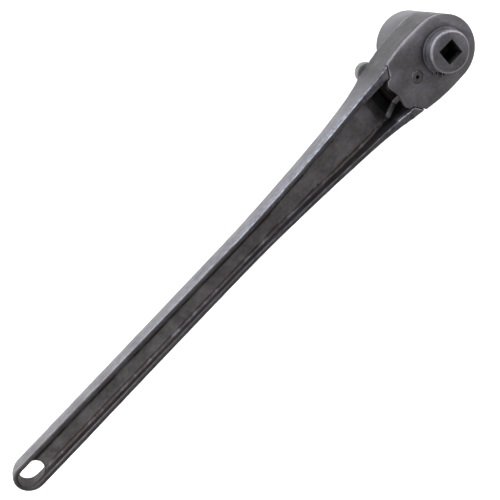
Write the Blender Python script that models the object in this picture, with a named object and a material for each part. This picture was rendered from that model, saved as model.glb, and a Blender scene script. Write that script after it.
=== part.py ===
"""Reversible ratchet hydrant wrench: cast channel handle, pentagon socket gear, pawl and shift lever.

Frame: metres, +Z up along the gear's axis towards the square drive hub, handle along -X.
The origin is the centre of the pentagon socket's floor.
"""
import math

import bmesh
import bpy
from mathutils import Matrix, Vector

MM = 0.001

# ---- driving dimensions, in millimetres -------------------------------------------------------
GAP = 0.3                 # clearance between neighbouring pieces

# pentagon socket and bell
SOCKET_ACROSS = 38.1      # pentagon, point to opposite flat
SOCKET_DEPTH = 28.0
BELL_RADIUS = SOCKET_ACROSS / 1.809 + 4.64   # a pentagon is 1.809 of its corner radius across
BELL_CHAMFER = 0.8

# head
HEAD_RADIUS = BELL_RADIUS + 0.1   # round end of the head, in plan
HEAD_DEPTH = 35.0         # from the cover plate's top to the head's rear face
BELL_TO_HEAD = 0.7        # bell shoulder above the socket floor
PLATE_THICK = 4.0
PLATE_EDGE = 0.7          # bevel round the plate's top
LEDGE_DROP = 0.4          # casting's shoulders below the plate's top
DECK_REACH = 60.0         # how far the cutter over the deck reaches past the casting

# handle
GRIP_LENGTH = 447.8       # gear axis to the centre of the handle's round end
END_RADIUS = 13.1
RIM_DROP = 5.0            # flange tops below the plate's top
HOLE_FROM_END = 1.4       # hanging hole's centre towards the head from the round end's centre
HOLE_LENGTH = 22.3
HOLE_WIDTH = 15.4
WEB_TOP_DROP = 10.2       # web's front face below the plate's top, at the grip
WEB_THICK = 5.0
END_WALL = 4.7            # metal left round the channel at the handle's end
WALL_DRAW = 0.5           # how far the grip's walls lean out to the parting line
RIM_ROUND = 0.9           # rounding of the flange tops' outer edges

# gear
DRIVE_SQUARE = 12.8
HUB_RADIUS = DRIVE_SQUARE * 0.7071 + 6.25
TOOTH_OUTER = BELL_RADIUS - 5.9   # teeth stay inside the bell, which seats on the head
GEAR_BORE = TOOTH_OUTER + 0.7     # bore in the head, which the gear's journal runs in
TEETH = 24
TOOTH_DEPTH = 2.2
TOOTH_LAND = 2.0
FLANK_DEG = 15.0
TOOTH_BELOW_PLATE = 3.0   # from the plate's underside to the tooth band
TOOTH_BAND = 17.0
HUB_HEIGHT = 12.2         # above the plate's top
HUB_CHAMFER = 1.5
DRIVE_DEPTH = 20.0
GROOVE_DEPTH = 1.1
RING_THICK = 2.2
RING_OUTER = HUB_RADIUS + 1.7
RING_LUG_OUTER = RING_OUTER + 1.5
RING_LUG_HOLE = 0.9
RING_GAP_AT_DEG = 217.5
RING_GAP_HALF_DEG = 5.5
RING_LUG_HALF_DEG = 20.0

# pawl and its pin
PIN_X = -TOOTH_OUTER - 6.5
PIN_RADIUS = 3.0
PIN_HEAD_RADIUS = 4.5
PIN_HEAD_THICK = 2.0
PIN_CENTRE_RADIUS = 1.3
PIN_CENTRE_DEPTH = 2.5
PIN_SEAT_DEPTH = 7.0
PAWL_HUB_RADIUS = 5.6
PAWL_THICK = 12.4
PAWL_TOP_DROP = 4.4       # pawl's top below the plate's underside
PAWL_AT_DEG = 30.0        # engaged tip, round the gear from the handle's line
PAWL_SWING_DEG = 28.0     # from one engaged position to the other
PAWL_TIP_ROOM = 0.5       # tip to the bottom of the tooth space
PAWL_ARM_BACK = 7.5       # width of the pawl's arm behind its tip
TAIL_REACH = 14.0         # pawl's tail, from the pin
TAIL_HALF = 4.2
TONGUE_WIDTH = 4.0
TONGUE_THICK = 1.8
TONGUE_STEP_AT = 14.6     # where the tongue starts down, from the pin
TONGUE_BEND_AT = 23.4
TONGUE_TIP_AT = 35.6
TONGUE_BEND_DROP = 5.2
TONGUE_TIP_RISE = 3.4
RIVET_RADIUS = 1.0
RIVET_HEAD_RADIUS = 1.5
RIVET_HEAD_THICK = 0.6
RIVET_DEPTH = 3.0
RIVETS_AT = (8.0, 12.0)

SHIFT_X = PIN_X - 8.9     # shift shaft, which the chamber's rear and the plate's end follow

# pawl chamber, open to the channel
CHAMBER_FLOOR = 9.0       # casting left under the chamber, above the head's rear face
POCKET_HALF = HEAD_RADIUS - 10.7
CHAMBER_HALF = POCKET_HALF + 1.5
CHAMBER_FRONT = -12.0
CHAMBER_REAR = SHIFT_X - 13.8
SHOULDER_X = SHIFT_X - 6.4      # where the plate's straight edge meets the pocket
SHOULDER_OUT_X = SHIFT_X - 1.4  # where it meets the head's side
LOBE_Y = POCKET_HALF - 5.9
LOBE_RADIUS = 5.4
LOBE_X = SHIFT_X - 6.3
SCALLOP_X = SHIFT_X - 9.8

# shift lever on the head's rear face
SHIFT_SHAFT_RADIUS = 3.0
CRANK_RADIUS = 5.0
CRANK_THICK = 3.0
CRANK_PEG_AT = 3.4
LEVER_HUB_RADIUS = 6.0
LEVER_HUB_THICK = 9.0
LEVER_THICK = 5.0
LEVER_STEP = 0.4          # arm's front face below the hub's
LEVER_REACH = 19.4
LEVER_FROM_HANDLE_DEG = 62.3
KNOB_RADIUS = 7.8
KNOB_THICK = 8.4
KNOB_DOME = 2.0
LEVER_HALF = 3.6
WASHER_THICK = 1.0
WASHER_RADIUS = 5.6
LEVER_PIN_RADIUS = 1.1
LEVER_PIN_EDGE = 0.8      # metal between the cross hole and the hub's rear face
SPRING_WIRE = 0.55        # radius of the over-centre spring's wire
SPRING_LOOP = 4.0         # radius of its open loop
SPRING_HOOK = 1.6         # how far its hooked ends go in
SPRING_TAIL_AT = 12.0

# ---- derived heights ----------------------------------------------------------------------------
HEAD_BACK = BELL_TO_HEAD + GAP
PLATE_TOP = HEAD_BACK + HEAD_DEPTH
PLATE_UNDER = PLATE_TOP - PLATE_THICK
DECK = PLATE_UNDER - GAP
RIM = PLATE_TOP - RIM_DROP
LEDGE = PLATE_TOP - LEDGE_DROP
CHAMBER_Z = HEAD_BACK + CHAMBER_FLOOR
PAWL_TOP = PLATE_UNDER - PAWL_TOP_DROP
PAWL_BOTTOM = PAWL_TOP - PAWL_THICK
HUB_TOP = PLATE_TOP + HUB_HEIGHT
TOOTH_ROOT = TOOTH_OUTER - TOOTH_DEPTH
HALF_SWING = math.radians(PAWL_SWING_DEG / 2)
LEVER_TURN = math.radians(180.0 - LEVER_FROM_HANDLE_DEG)
EPS = 1.0                 # how far a cutter runs past the face it opens

HEAD_END_X = SHIFT_X - 11.8   # where the head's sides pass into the handle's
# half-widths of the handle in plan, from the head's widest place to the round end
HALF_WIDTHS = ((0.0, HEAD_RADIUS), (-13.0, HEAD_RADIUS + 0.3), (-24.0, HEAD_RADIUS - 0.4),
               (-36.0, HEAD_RADIUS - 2.2), (HEAD_END_X, HEAD_RADIUS - 3.9), (-84.0, 17.9),
               (-142.0, 14.2), (-205.0, 12.0), (-320.0, 12.4), (-GRIP_LENGTH, END_RADIUS))
# rear face of the casting, from the flat under the head to the thin end
BACK_FACE = ((HEAD_END_X + 1.0, 0.0), (-66.0, 6.6), (-110.0, 10.6), (-205.0, 11.8), (-330.0, 13.8),
             (-GRIP_LENGTH, 15.4))
# flange tops: level with the shoulders beside the plate, then down to the rim
RIM_LINE = ((HEAD_END_X - 1.0, LEDGE), (-66.0, RIM + 1.9), (-150.0, RIM + 1.2), (-270.0, RIM))
# width of the flanges beside the channel
FLANGE_WIDTHS = ((HEAD_END_X + 3.0, 6.6), (-84.0, 4.6), (-120.0, 4.0), (-205.0, 4.0), (-GRIP_LENGTH, END_WALL))
# channel's floor, from deep beside the chamber up to the web's face along the grip
WEB_FLOOR = ((HEAD_END_X + 1.0, CHAMBER_Z + 1.0), (-60.0, 17.6), (-84.0, 22.6), (-142.0, 24.6),
             (-205.0, PLATE_TOP - WEB_TOP_DROP))
BACK_CHANNEL_START = -92.0


# ---- curves and small geometry ------------------------------------------------------------------
def along(table, x):
    """Smooth value at x from a table of (x, value) whose x falls; level beyond its ends."""
    if x >= table[0][0]:
        return table[0][1]
    if x <= table[-1][0]:
        return table[-1][1]
    slopes = []
    for k in range(len(table) - 1):
        slopes.append((table[k + 1][1] - table[k][1]) / (table[k + 1][0] - table[k][0]))
    tangents = [0.0]
    for k in range(1, len(table) - 1):
        a, b = slopes[k - 1], slopes[k]
        tangents.append(0.0 if a * b <= 0 else 2 * a * b / (a + b))
    tangents.append(0.0)
    for k in range(len(table) - 1):
        x0, y0 = table[k]
        x1, y1 = table[k + 1]
        if x1 <= x <= x0:
            h = x1 - x0
            t = (x - x0) / h
            return ((1 + 2 * t) * (1 - t) ** 2 * y0 + t * (1 - t) ** 2 * h * tangents[k]
                    + t * t * (3 - 2 * t) * y1 + t * t * (t - 1) * h * tangents[k + 1])
    return table[-1][1]


def half_width(x):
    """Half the casting's width in plan at x."""
    if x > 0.0:
        return math.sqrt(max(0.0, HEAD_RADIUS ** 2 - x ** 2))
    if x < -GRIP_LENGTH:
        return math.sqrt(max(0.0, END_RADIUS ** 2 - (x + GRIP_LENGTH) ** 2))
    return along(HALF_WIDTHS, x)


def back_face(x):
    """Height of the casting's rear face at x."""
    return HEAD_BACK + along(BACK_FACE, x)


def rim_height(x):
    """Height of the flange tops at x."""
    return along(RIM_LINE, x)


def rim_round(x):
    """Rounding of the flange tops' outer edges at x, small beside the plate."""
    return along(((HEAD_END_X - 1.0, 0.2 * RIM_ROUND), (-66.0, RIM_ROUND)), x)


def channel_half(x):
    """Half the channel's width at the flange tops."""
    return along(HALF_WIDTHS, x) - along(FLANGE_WIDTHS, x)


def web_face(x):
    """Height of the channel's floor at x."""
    return along(WEB_FLOOR, x)


def polar(radius, angle, centre=(0.0, 0.0)):
    """Point at a radius and angle round a centre, in plan."""
    return (centre[0] + radius * math.cos(angle), centre[1] + radius * math.sin(angle))


def arc(radius, start, end, steps, centre=(0.0, 0.0)):
    """Points of an arc, both ends included."""
    return [polar(radius, start + (end - start) * k / steps, centre) for k in range(steps + 1)]


def turned(points, angle, centre=(0.0, 0.0)):
    """Points turned about a centre in plan."""
    c, s = math.cos(angle), math.sin(angle)
    out = []
    for x, y in points:
        dx, dy = x - centre[0], y - centre[1]
        out.append((centre[0] + c * dx - s * dy, centre[1] + s * dx + c * dy))
    return out


def mirrored(points):
    """Points mirrored over the handle's line, in reverse order."""
    return [(x, -y) for x, y in reversed(points)]


def spaced(start, end, steps):
    """Evenly spaced values, both ends included."""
    return [start + (end - start) * k / steps for k in range(steps + 1)]


# ---- Blender helpers ----------------------------------------------------------------------------
def material(name, colour, metallic, roughness):
    """Principled material."""
    mat = bpy.data.materials.new(name)
    mat.use_nodes = True
    shader = mat.node_tree.nodes["Principled BSDF"]
    shader.inputs["Base Color"].default_value = (*colour, 1.0)
    shader.inputs["Metallic"].default_value = metallic
    shader.inputs["Roughness"].default_value = roughness
    return mat


def finish_mesh(name, bm, mat=None):
    """Object from a bmesh drawn in millimetres."""
    bmesh.ops.remove_doubles(bm, verts=bm.verts, dist=0.001)
    bmesh.ops.recalc_face_normals(bm, faces=bm.faces)
    bmesh.ops.scale(bm, vec=(MM, MM, MM), verts=bm.verts)
    mesh = bpy.data.meshes.new(name)
    bm.to_mesh(mesh)
    bm.free()
    obj = bpy.data.objects.new(name, mesh)
    bpy.context.scene.collection.objects.link(obj)
    if mat:
        mesh.materials.append(mat)
        mesh.shade_smooth()
        mesh.set_sharp_from_angle(angle=math.radians(35))
    return obj


def prism(name, outline, low, high, mat=None, bevel=0.0):
    """Straight-sided solid over a plan outline, with an optional bevel round its top."""
    bm = bmesh.new()
    face = bm.faces.new([bm.verts.new((x, y, low)) for x, y in outline])
    raised = bmesh.ops.extrude_face_region(bm, geom=[face])
    top = [v for v in raised["geom"] if isinstance(v, bmesh.types.BMVert)]
    bmesh.ops.translate(bm, vec=(0, 0, high - low), verts=top)
    if bevel:
        ring = set(top)
        edges = [e for e in bm.edges if e.verts[0] in ring and e.verts[1] in ring]
        bmesh.ops.bevel(bm, geom=edges, offset=bevel, segments=2, profile=0.5,
                        affect='EDGES', clamp_overlap=True)
    return finish_mesh(name, bm, mat)


def lathe(name, profile, mat=None, segments=64, centre=(0.0, 0.0)):
    """Solid turned about a vertical axis, from a profile of (radius, height).

    A profile that starts and ends on the axis stays open there; any other is closed into a ring.
    """
    bm = bmesh.new()
    verts = [bm.verts.new((centre[0] + r, centre[1], z)) for r, z in profile]
    pairs = list(zip(verts, verts[1:]))
    if profile[0][0] > 0:
        pairs.append((verts[-1], verts[0]))
    edges = [bm.edges.new(pair) for pair in pairs]
    bmesh.ops.spin(bm, geom=verts + edges, cent=(centre[0], centre[1], 0.0), axis=(0, 0, 1),
                   angle=2 * math.pi, steps=segments, use_merge=True)
    bmesh.ops.remove_doubles(bm, verts=bm.verts, dist=0.001)
    bmesh.ops.dissolve_degenerate(bm, edges=bm.edges, dist=0.0005)
    return finish_mesh(name, bm, mat)


def rod(name, radius, low, high, mat=None, centre=(0.0, 0.0), segments=24, chamfer=0.0):
    """Plain round bar along Z, with an optional chamfer on both ends."""
    if chamfer:
        profile = ((0, low), (radius - chamfer, low), (radius, low + chamfer),
                   (radius, high - chamfer), (radius - chamfer, high), (0, high))
    else:
        profile = ((0, low), (radius, low), (radius, high), (0, high))
    return lathe(name, profile, mat, segments, centre)


def combine(target, tool, operation='DIFFERENCE'):
    """Boolean of a hidden tool on a target."""
    step = target.modifiers.new(tool.name, 'BOOLEAN')
    step.operation = operation
    step.solver = 'EXACT'
    step.object = tool
    tool.hide_render = True
    tool.display_type = 'WIRE'
    tool.hide_set(True)


def moulded(name, half, rings, mat=None):
    """Closed body over a plan outline that is mirrored over the handle's line.

    half lists (x, y) from the +X end to the -X end with y >= 0; its first and last points lie on
    the line. Each ring is (inset, height function of x); rings run from the top face down.
    """
    bm = bmesh.new()
    count = len(half)
    normals = []
    for k, (x, y) in enumerate(half):
        x0, y0 = half[k - 1] if k else (half[1][0], -half[1][1])
        x1, y1 = half[k + 1] if k < count - 1 else (half[-2][0], -half[-2][1])
        side = Vector((x1 - x0, y1 - y0))
        normals.append(Vector((side.y, -side.x)).normalized())
    loops = []
    for inset, height in rings:
        left, right = [], []
        for (x, y), n in zip(half, normals):
            px = x - n.x * inset(x)
            py = max(0.0, y - n.y * inset(x))
            left.append(bm.verts.new((px, py, height(x))))
            right.append(left[-1] if y == 0.0 else bm.verts.new((px, -py, height(x))))
        loops.append((left, right))
    for (left, right) in (loops[0], loops[-1]):
        for k in range(count - 1):
            corners = (left[k], left[k + 1], right[k + 1], right[k])
            bm.faces.new(tuple(dict.fromkeys(corners)))
    for upper, lower in zip(loops, loops[1:]):
        for side in (0, 1):
            for k in range(count - 1):
                bm.faces.new((upper[side][k], upper[side][k + 1], lower[side][k + 1], lower[side][k]))
    return finish_mesh(name, bm, mat)


def constant(value):
    """Function of x that is the same everywhere."""
    return lambda x: value


# ---- outlines shared by neighbouring pieces -----------------------------------------------------
def head_side(end_x):
    """Head outline on the +Y side, from the tip back to end_x."""
    points = arc(HEAD_RADIUS, 0.0, math.pi / 2, 18)
    return points + [(x, half_width(x)) for x in spaced(0.0, end_x, 9)[1:]]


def plate_outline():
    """Cover plate: head outline, straight shoulders, two lobes and a shallow scallop."""
    side = head_side(SHOULDER_OUT_X)
    lobe = arc(LOBE_RADIUS, math.radians(80), math.radians(203), 8, (LOBE_X, LOBE_Y))
    shoulder = [(SHOULDER_X, POCKET_HALF)]
    half = side + shoulder + lobe
    return half + [(SCALLOP_X, 0.0)] + mirrored(half)[:-1]


def casting_half():
    """Casting outline on the +Y side, from the head's tip to the handle's end."""
    points = head_side(HEAD_END_X)
    points += [(x, half_width(x)) for x in spaced(HEAD_END_X, -142.0, 8)[1:]]
    points += [(x, half_width(x)) for x in spaced(-142.0, -GRIP_LENGTH, 10)[1:]]
    points += arc(END_RADIUS, math.pi / 2, math.pi, 7, (-GRIP_LENGTH, 0.0))[1:-1]
    return points + [(-GRIP_LENGTH - END_RADIUS, 0.0)]


# ---- pieces of the frame ------------------------------------------------------------------------
def make_casting(mat):
    """Handle and head in one casting, with its channels, chamber and bores."""
    def back_round(x):
        return along(((HEAD_END_X + 1.0, 0.5), (-66.0, 2.6)), x)

    def draw(x):
        # the walls lean out to the parting line, halfway down the grip
        return along(((-60.0, 0.0), (-110.0, WALL_DRAW)), x)

    def mid_height(x):
        return (rim_height(x) + back_face(x)) / 2

    corner = 1.0 - math.cos(math.pi / 4)
    rings = (
        (rim_round, rim_height),
        (lambda x: rim_round(x) * corner, lambda x: rim_height(x) - rim_round(x)),
        (constant(0.0), lambda x: rim_height(x) - 2.5 * RIM_ROUND),
        (lambda x: -draw(x), mid_height),
        (constant(0.0), lambda x: back_face(x) + back_round(x)),
        (lambda x: back_round(x) * corner, lambda x: back_face(x) + back_round(x) * corner),
        (back_round, back_face),
    )
    casting = moulded("handle_casting", casting_half(), rings, mat)

    # front channel, round at the handle's end
    end_radius = END_RADIUS - END_WALL
    xs = spaced(-44.0, -142.0, 9) + spaced(-142.0, -GRIP_LENGTH, 9)[1:]
    half = [(-44.0, 0.0)] + [(x, channel_half(x)) for x in xs]
    round_end = arc(end_radius, math.pi / 2, math.pi, 6, (-GRIP_LENGTH, 0.0))[1:-1]
    round_end += [(-GRIP_LENGTH - end_radius, 0.0)]
    half += round_end
    draft, fillet = 0.8, 2.2
    channel = moulded("front_channel_tool", half, (
        (constant(-0.4), lambda x: rim_height(x) + EPS + 6.0),
        (constant(0.0), lambda x: rim_height(x) - 0.6),
        (constant(draft), lambda x: web_face(x) + fillet),
        (constant(draft + fillet * corner), lambda x: web_face(x) + fillet * corner),
        (constant(draft + fillet), web_face),
    ))
    combine(casting, channel)

    # rear channel along the grip
    xs = spaced(BACK_CHANNEL_START, -GRIP_LENGTH, 14)
    half = arc(channel_half(xs[0]), 0.0, math.pi / 2, 6, (xs[0], 0.0))[:-1]
    half += [(x, channel_half(x)) for x in xs] + round_end
    rear = moulded("rear_channel_tool", half, (
        (constant(draft + fillet), lambda x: web_face(x) - WEB_THICK),
        (constant(draft), lambda x: web_face(x) - WEB_THICK - 1.0),
        (constant(0.0), lambda x: back_face(x) - EPS),
    ))
    combine(casting, rear)

    # seat of the cover plate, which ends in two shoulders beside the pocket
    seat_half = [(DECK_REACH, 0.0), (DECK_REACH, DECK_REACH)]
    slope = (half_width(SHOULDER_OUT_X) - POCKET_HALF) / (SHOULDER_OUT_X - SHOULDER_X)
    for y in (DECK_REACH, POCKET_HALF):
        seat_half.append((SHOULDER_X - GAP + (y - POCKET_HALF) / slope, y))
    seat = seat_half + mirrored(seat_half)[:-1]
    combine(casting, prism("plate_seat_tool", seat, DECK, PLATE_TOP + EPS))

    # pawl chamber and the gear's bore
    chamber_half = [(CHAMBER_FRONT, CHAMBER_HALF), (SHIFT_X + 4.2, CHAMBER_HALF),
                    (SHOULDER_X, POCKET_HALF), (CHAMBER_REAR + 2.5, POCKET_HALF - 0.6),
                    (CHAMBER_REAR, POCKET_HALF - 3.0)]
    chamber = chamber_half + mirrored(chamber_half)
    combine(casting, prism("chamber_tool", chamber, CHAMBER_Z, PLATE_TOP + EPS))
    combine(casting, rod("gear_bore_tool", GEAR_BORE, HEAD_BACK - EPS, PLATE_TOP + EPS, segments=64))

    # seats of the pawl pin and the shift shaft
    combine(casting, rod("pin_seat_tool", PIN_RADIUS + GAP, CHAMBER_Z - PIN_SEAT_DEPTH,
                         CHAMBER_Z + EPS, centre=(PIN_X, 0.0)))
    combine(casting, rod("shaft_bore_tool", SHIFT_SHAFT_RADIUS + GAP, HEAD_BACK - EPS,
                         CHAMBER_Z + EPS, centre=(SHIFT_X, 0.0)))

    # hanging hole
    r = HOLE_WIDTH / 2
    shift = HOLE_LENGTH / 2 - r
    cx = -GRIP_LENGTH + HOLE_FROM_END
    hole = (arc(r, -math.pi / 2, math.pi / 2, 10, (cx + shift, 0.0))
            + arc(r, math.pi / 2, 3 * math.pi / 2, 10, (cx - shift, 0.0)))
    combine(casting, prism("hanging_hole_tool", hole, HEAD_BACK, PLATE_TOP))
    return casting


def make_plate(mat):
    """Flat cover over the head's front, bored for the hub and counterbored for the pin's head."""
    plate = prism("cover_plate", plate_outline(), PLATE_UNDER, PLATE_TOP, mat, bevel=PLATE_EDGE)
    combine(plate, rod("hub_hole_tool", HUB_RADIUS + GAP, PLATE_UNDER - EPS, PLATE_TOP + EPS,
                       segments=64))
    seat = PLATE_TOP - PIN_HEAD_THICK - GAP
    profile = ((0, PLATE_UNDER - EPS), (PIN_RADIUS + GAP, PLATE_UNDER - EPS),
               (PIN_RADIUS + GAP, seat), (PIN_HEAD_RADIUS + GAP, seat),
               (PIN_HEAD_RADIUS + GAP, PLATE_TOP + EPS), (0, PLATE_TOP + EPS))
    combine(plate, lathe("pin_hole_tool", profile, segments=32, centre=(PIN_X, 0.0)))
    return plate


def make_pawl_pin(mat):
    """Headed pin through the plate and the pawl, seated in the casting."""
    bottom = CHAMBER_Z - PIN_SEAT_DEPTH + GAP
    under_head = PLATE_TOP - PIN_HEAD_THICK
    chamfer = 0.5
    profile = ((0, bottom), (PIN_RADIUS - chamfer, bottom), (PIN_RADIUS, bottom + chamfer),
               (PIN_RADIUS, under_head), (PIN_HEAD_RADIUS, under_head),
               (PIN_HEAD_RADIUS, PLATE_TOP - chamfer / 2),
               (PIN_HEAD_RADIUS - chamfer / 2, PLATE_TOP), (PIN_CENTRE_RADIUS, PLATE_TOP),
               (PIN_CENTRE_RADIUS, PLATE_TOP - PIN_CENTRE_DEPTH), (0, PLATE_TOP - PIN_CENTRE_DEPTH))
    return lathe("pawl_pin", profile, mat, 32, (PIN_X, 0.0))


# ---- pieces that turn with the gear -------------------------------------------------------------
def groove_heights():
    """Snap ring groove, just above the plate."""
    low = PLATE_TOP + GAP / 2
    return low, low + RING_THICK + 2 * GAP


def make_gear(mat):
    """One-piece gear: square drive hub, tooth band, journal and pentagon socket bell."""
    shoulder = HUB_RADIUS + 2.0
    band_top = PLATE_UNDER - TOOTH_BELOW_PLATE
    band_bottom = band_top - TOOTH_BAND
    journal = GEAR_BORE - GAP
    groove_low, groove_high = groove_heights()
    groove = HUB_RADIUS - GROOVE_DEPTH
    bell_low = -SOCKET_DEPTH
    bell_top = BELL_TO_HEAD
    profile = (
        (0, bell_low), (BELL_RADIUS - BELL_CHAMFER, bell_low), (BELL_RADIUS, bell_low + BELL_CHAMFER),
        (BELL_RADIUS, bell_top - 0.5), (BELL_RADIUS - 0.5, bell_top), (journal, bell_top),
        (journal, band_bottom - 1.2), (TOOTH_OUTER, band_bottom - 1.2 + (journal - TOOTH_OUTER)),
        (TOOTH_OUTER, band_top), (TOOTH_ROOT, band_top + 1.0), (shoulder, band_top + 1.0),
        (shoulder, PLATE_UNDER - GAP), (HUB_RADIUS, PLATE_UNDER - GAP), (HUB_RADIUS, groove_low),
        (groove, groove_low), (groove, groove_high), (HUB_RADIUS, groove_high),
        (HUB_RADIUS, HUB_TOP - HUB_CHAMFER), (HUB_RADIUS - 0.35 * HUB_CHAMFER, HUB_TOP - 0.4 * HUB_CHAMFER),
        (HUB_RADIUS - HUB_CHAMFER, HUB_TOP), (0, HUB_TOP))
    gear = lathe("ratchet_gear", profile, mat, 72)

    # tooth spaces, one pair of flanks each; a space faces the handle
    pitch = 2 * math.pi / TEETH
    half_space = (pitch * TOOTH_OUTER - TOOTH_LAND) / 2
    flank = math.tan(math.radians(FLANK_DEG))
    over = 1.5
    bm = bmesh.new()
    section = [(TOOTH_ROOT, half_space - TOOTH_DEPTH * flank),
               (TOOTH_OUTER + over, half_space + over * flank)]
    section += [(x, -y) for x, y in reversed(section)]
    for k in range(TEETH):
        turned_section = turned(section, math.pi + k * pitch)
        face = bm.faces.new([bm.verts.new((x, y, band_bottom)) for x, y in turned_section])
        raised = bmesh.ops.extrude_face_region(bm, geom=[face])
        top = [v for v in raised["geom"] if isinstance(v, bmesh.types.BMVert)]
        bmesh.ops.translate(bm, vec=(0, 0, TOOTH_BAND + 2.0), verts=top)
    combine(gear, finish_mesh("tooth_space_tool", bm))

    # pentagon socket, a point towards +X
    corner_radius = SOCKET_ACROSS / (1 + math.cos(math.pi / 5))
    pentagon = [polar(corner_radius, 2 * math.pi * k / 5) for k in range(5)]
    combine(gear, prism("socket_tool", pentagon, bell_low - EPS, 0.0))

    # square drive hole
    h = DRIVE_SQUARE / 2
    square = [(h, h), (-h, h), (-h, -h), (h, -h)]
    combine(gear, prism("drive_tool", square, HUB_TOP - DRIVE_DEPTH, HUB_TOP + EPS))
    return gear


def make_snap_ring(mat):
    """External snap ring with two lugs."""
    at = math.radians(RING_GAP_AT_DEG)
    gap = math.radians(RING_GAP_HALF_DEG)
    lug = math.radians(RING_LUG_HALF_DEG)
    inner = HUB_RADIUS - GROOVE_DEPTH + GAP
    ease = math.radians(6.0)
    outline = arc(RING_LUG_OUTER, at + gap, at + lug - ease, 4)
    outline += arc(RING_OUTER, at + lug, at + 2 * math.pi - lug, 56)
    outline += arc(RING_LUG_OUTER, at + 2 * math.pi - lug + ease, at + 2 * math.pi - gap, 4)
    outline += arc(inner, at + 2 * math.pi - gap, at + gap, 60)
    low = groove_heights()[0] + GAP
    ring = prism("snap_ring", outline, low, low + RING_THICK, mat)
    mid = (inner + RING_LUG_OUTER) / 2
    for side in (-1, 1):
        centre = polar(mid, at + side * (gap + lug - ease) / 2)
        combine(ring, rod("lug_hole_tool_%d" % (side + 1), RING_LUG_HOLE, low - EPS,
                          low + RING_THICK + EPS, centre=centre, segments=12))
    return ring


# ---- pieces that swing with the pawl ------------------------------------------------------------
def pawl_tip(side):
    """Engaged tip on one side of the handle's line: four points, from the handle's side round."""
    pitch = 2 * math.pi / TEETH
    flank = math.tan(math.radians(FLANK_DEG))
    half_outer = (pitch * TOOTH_OUTER - TOOTH_LAND) / 2 - GAP
    tip_radius = TOOTH_ROOT + PAWL_TIP_ROOM
    half_tip = half_outer - (TOOTH_OUTER - tip_radius) * flank
    back_radius = TOOTH_OUTER + 0.4
    half_back = half_outer + 0.4 * flank
    angle = math.pi - side * math.radians(PAWL_AT_DEG)
    section = [(back_radius, half_back), (tip_radius, half_tip),
               (tip_radius, -half_tip), (back_radius, -half_back)]
    return turned(section, angle)


def make_pawl(mat):
    """Double-ended pawl, drawn with its -Y tip in mesh."""
    pin = (PIN_X, 0.0)
    # the tip as it lies on a pawl in its middle position
    corners = turned(pawl_tip(-1), -HALF_SWING, pin)
    if abs(corners[0][1]) > abs(corners[-1][1]):
        corners.reverse()
    inner_back, inner_tip, outer_tip, outer_back = corners
    heel_angle = math.atan2(outer_back[1], outer_back[0] - PIN_X) - math.radians(24)
    heel = polar(math.hypot(outer_back[0] - PIN_X, outer_back[1]) - 1.0, heel_angle, pin)
    waist = (PIN_X + 1.5 - PAWL_ARM_BACK, -TAIL_HALF - 2.4)
    nose = polar(PAWL_HUB_RADIUS, math.radians(-16), pin)
    low_side = [nose, (inner_back[0] - 1.2, inner_back[1] + 2.6), inner_back, inner_tip, outer_tip,
                outer_back, heel, waist,
                (PIN_X - TAIL_REACH + 2.0, -TAIL_HALF), (PIN_X - TAIL_REACH, -TAIL_HALF + 2.0)]
    outline = low_side + mirrored(low_side)
    pawl = prism("pawl", turned(outline, HALF_SWING, pin), PAWL_BOTTOM, PAWL_TOP, mat)
    combine(pawl, rod("pawl_bore_tool", PIN_RADIUS + GAP, PAWL_BOTTOM - EPS, PAWL_TOP + EPS,
                      centre=pin))
    for k, at in enumerate(RIVETS_AT):
        combine(pawl, rod("rivet_hole_tool_%d" % k, RIVET_RADIUS + GAP, PAWL_TOP - RIVET_DEPTH - GAP,
                          PAWL_TOP + EPS, centre=polar(at, math.pi + HALF_SWING, pin), segments=12))
    combine(pawl, rod("spring_hole_tool", SPRING_WIRE + GAP, PAWL_BOTTOM - EPS,
                      PAWL_BOTTOM + SPRING_HOOK + GAP, centre=spring_ends()[1], segments=12))
    return pawl


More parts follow.
